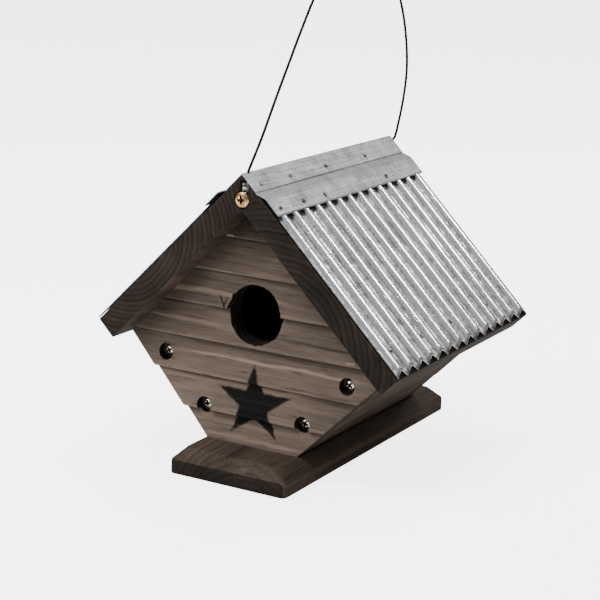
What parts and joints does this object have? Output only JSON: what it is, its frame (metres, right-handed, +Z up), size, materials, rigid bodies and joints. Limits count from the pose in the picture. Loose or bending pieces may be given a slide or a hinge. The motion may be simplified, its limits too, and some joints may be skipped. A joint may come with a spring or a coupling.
{
  "type": "birdhouse",
  "caption": "Hanging wooden birdhouse with slanted side walls on a plank base, a gable roof covered in corrugated metal, a round entrance hole and a cable loop to hang it by.",
  "frame": {"origin": "centre of the base board's underside, the face it stands on", "axes": "+Z up; the front with the entrance hole faces -Y; +X is the right side seen from the front; the ridge runs along Y"},
  "size_m": [0.216, 0.2244, 0.3251],
  "materials": {
    "stained_wood": "weathered dark grey-brown stain, open grain",
    "galvanised_sheet": "galvanised, spangled, dull",
    "zinc_steel": "zinc plated",
    "brass": "yellow plated",
    "sleeve_metal": "crimped, satin",
    "cable_coating": "black vinyl over steel strand"
  },
  "bodies": {
    "house": {"base_board": "stained_wood", "left_wall": "stained_wood", "right_wall": "stained_wood", "front_panel": "stained_wood", "back_panel": "stained_wood", "left_roof_board": "stained_wood", "right_roof_board": "stained_wood", "left_roof_sheet": "galvanised_sheet", "right_roof_sheet": "galvanised_sheet", "ridge_cap": "galvanised_sheet", "ridge_cap_nails": "zinc_steel", "left_sheet_nails": "zinc_steel", "right_sheet_nails": "zinc_steel", "ridge_nails": "zinc_steel", "left_roof_brads": "zinc_steel", "right_roof_brads": "zinc_steel", "front_panel_screws": "zinc_steel", "back_panel_screws": "zinc_steel", "base_screws": "zinc_steel", "front_ridge_screw": "brass", "rear_ridge_screw": "brass", "front_ferrule": "sleeve_metal", "rear_ferrule": "sleeve_metal", "front_cable_end": "cable_coating", "rear_cable_end": "cable_coating"},
    "hanger": {"hanger_loop": "cable_coating"}
  },
  "joints": [
    {"name": "hanger_swing", "type": "hinge", "parent": "house", "child": "hanger", "pos_m": [0, 0, 0.19584], "axis": [0, 1, 0], "range_deg": [-80, 80], "stiffness_Nm_per_rad": 0.01}
  ]
}
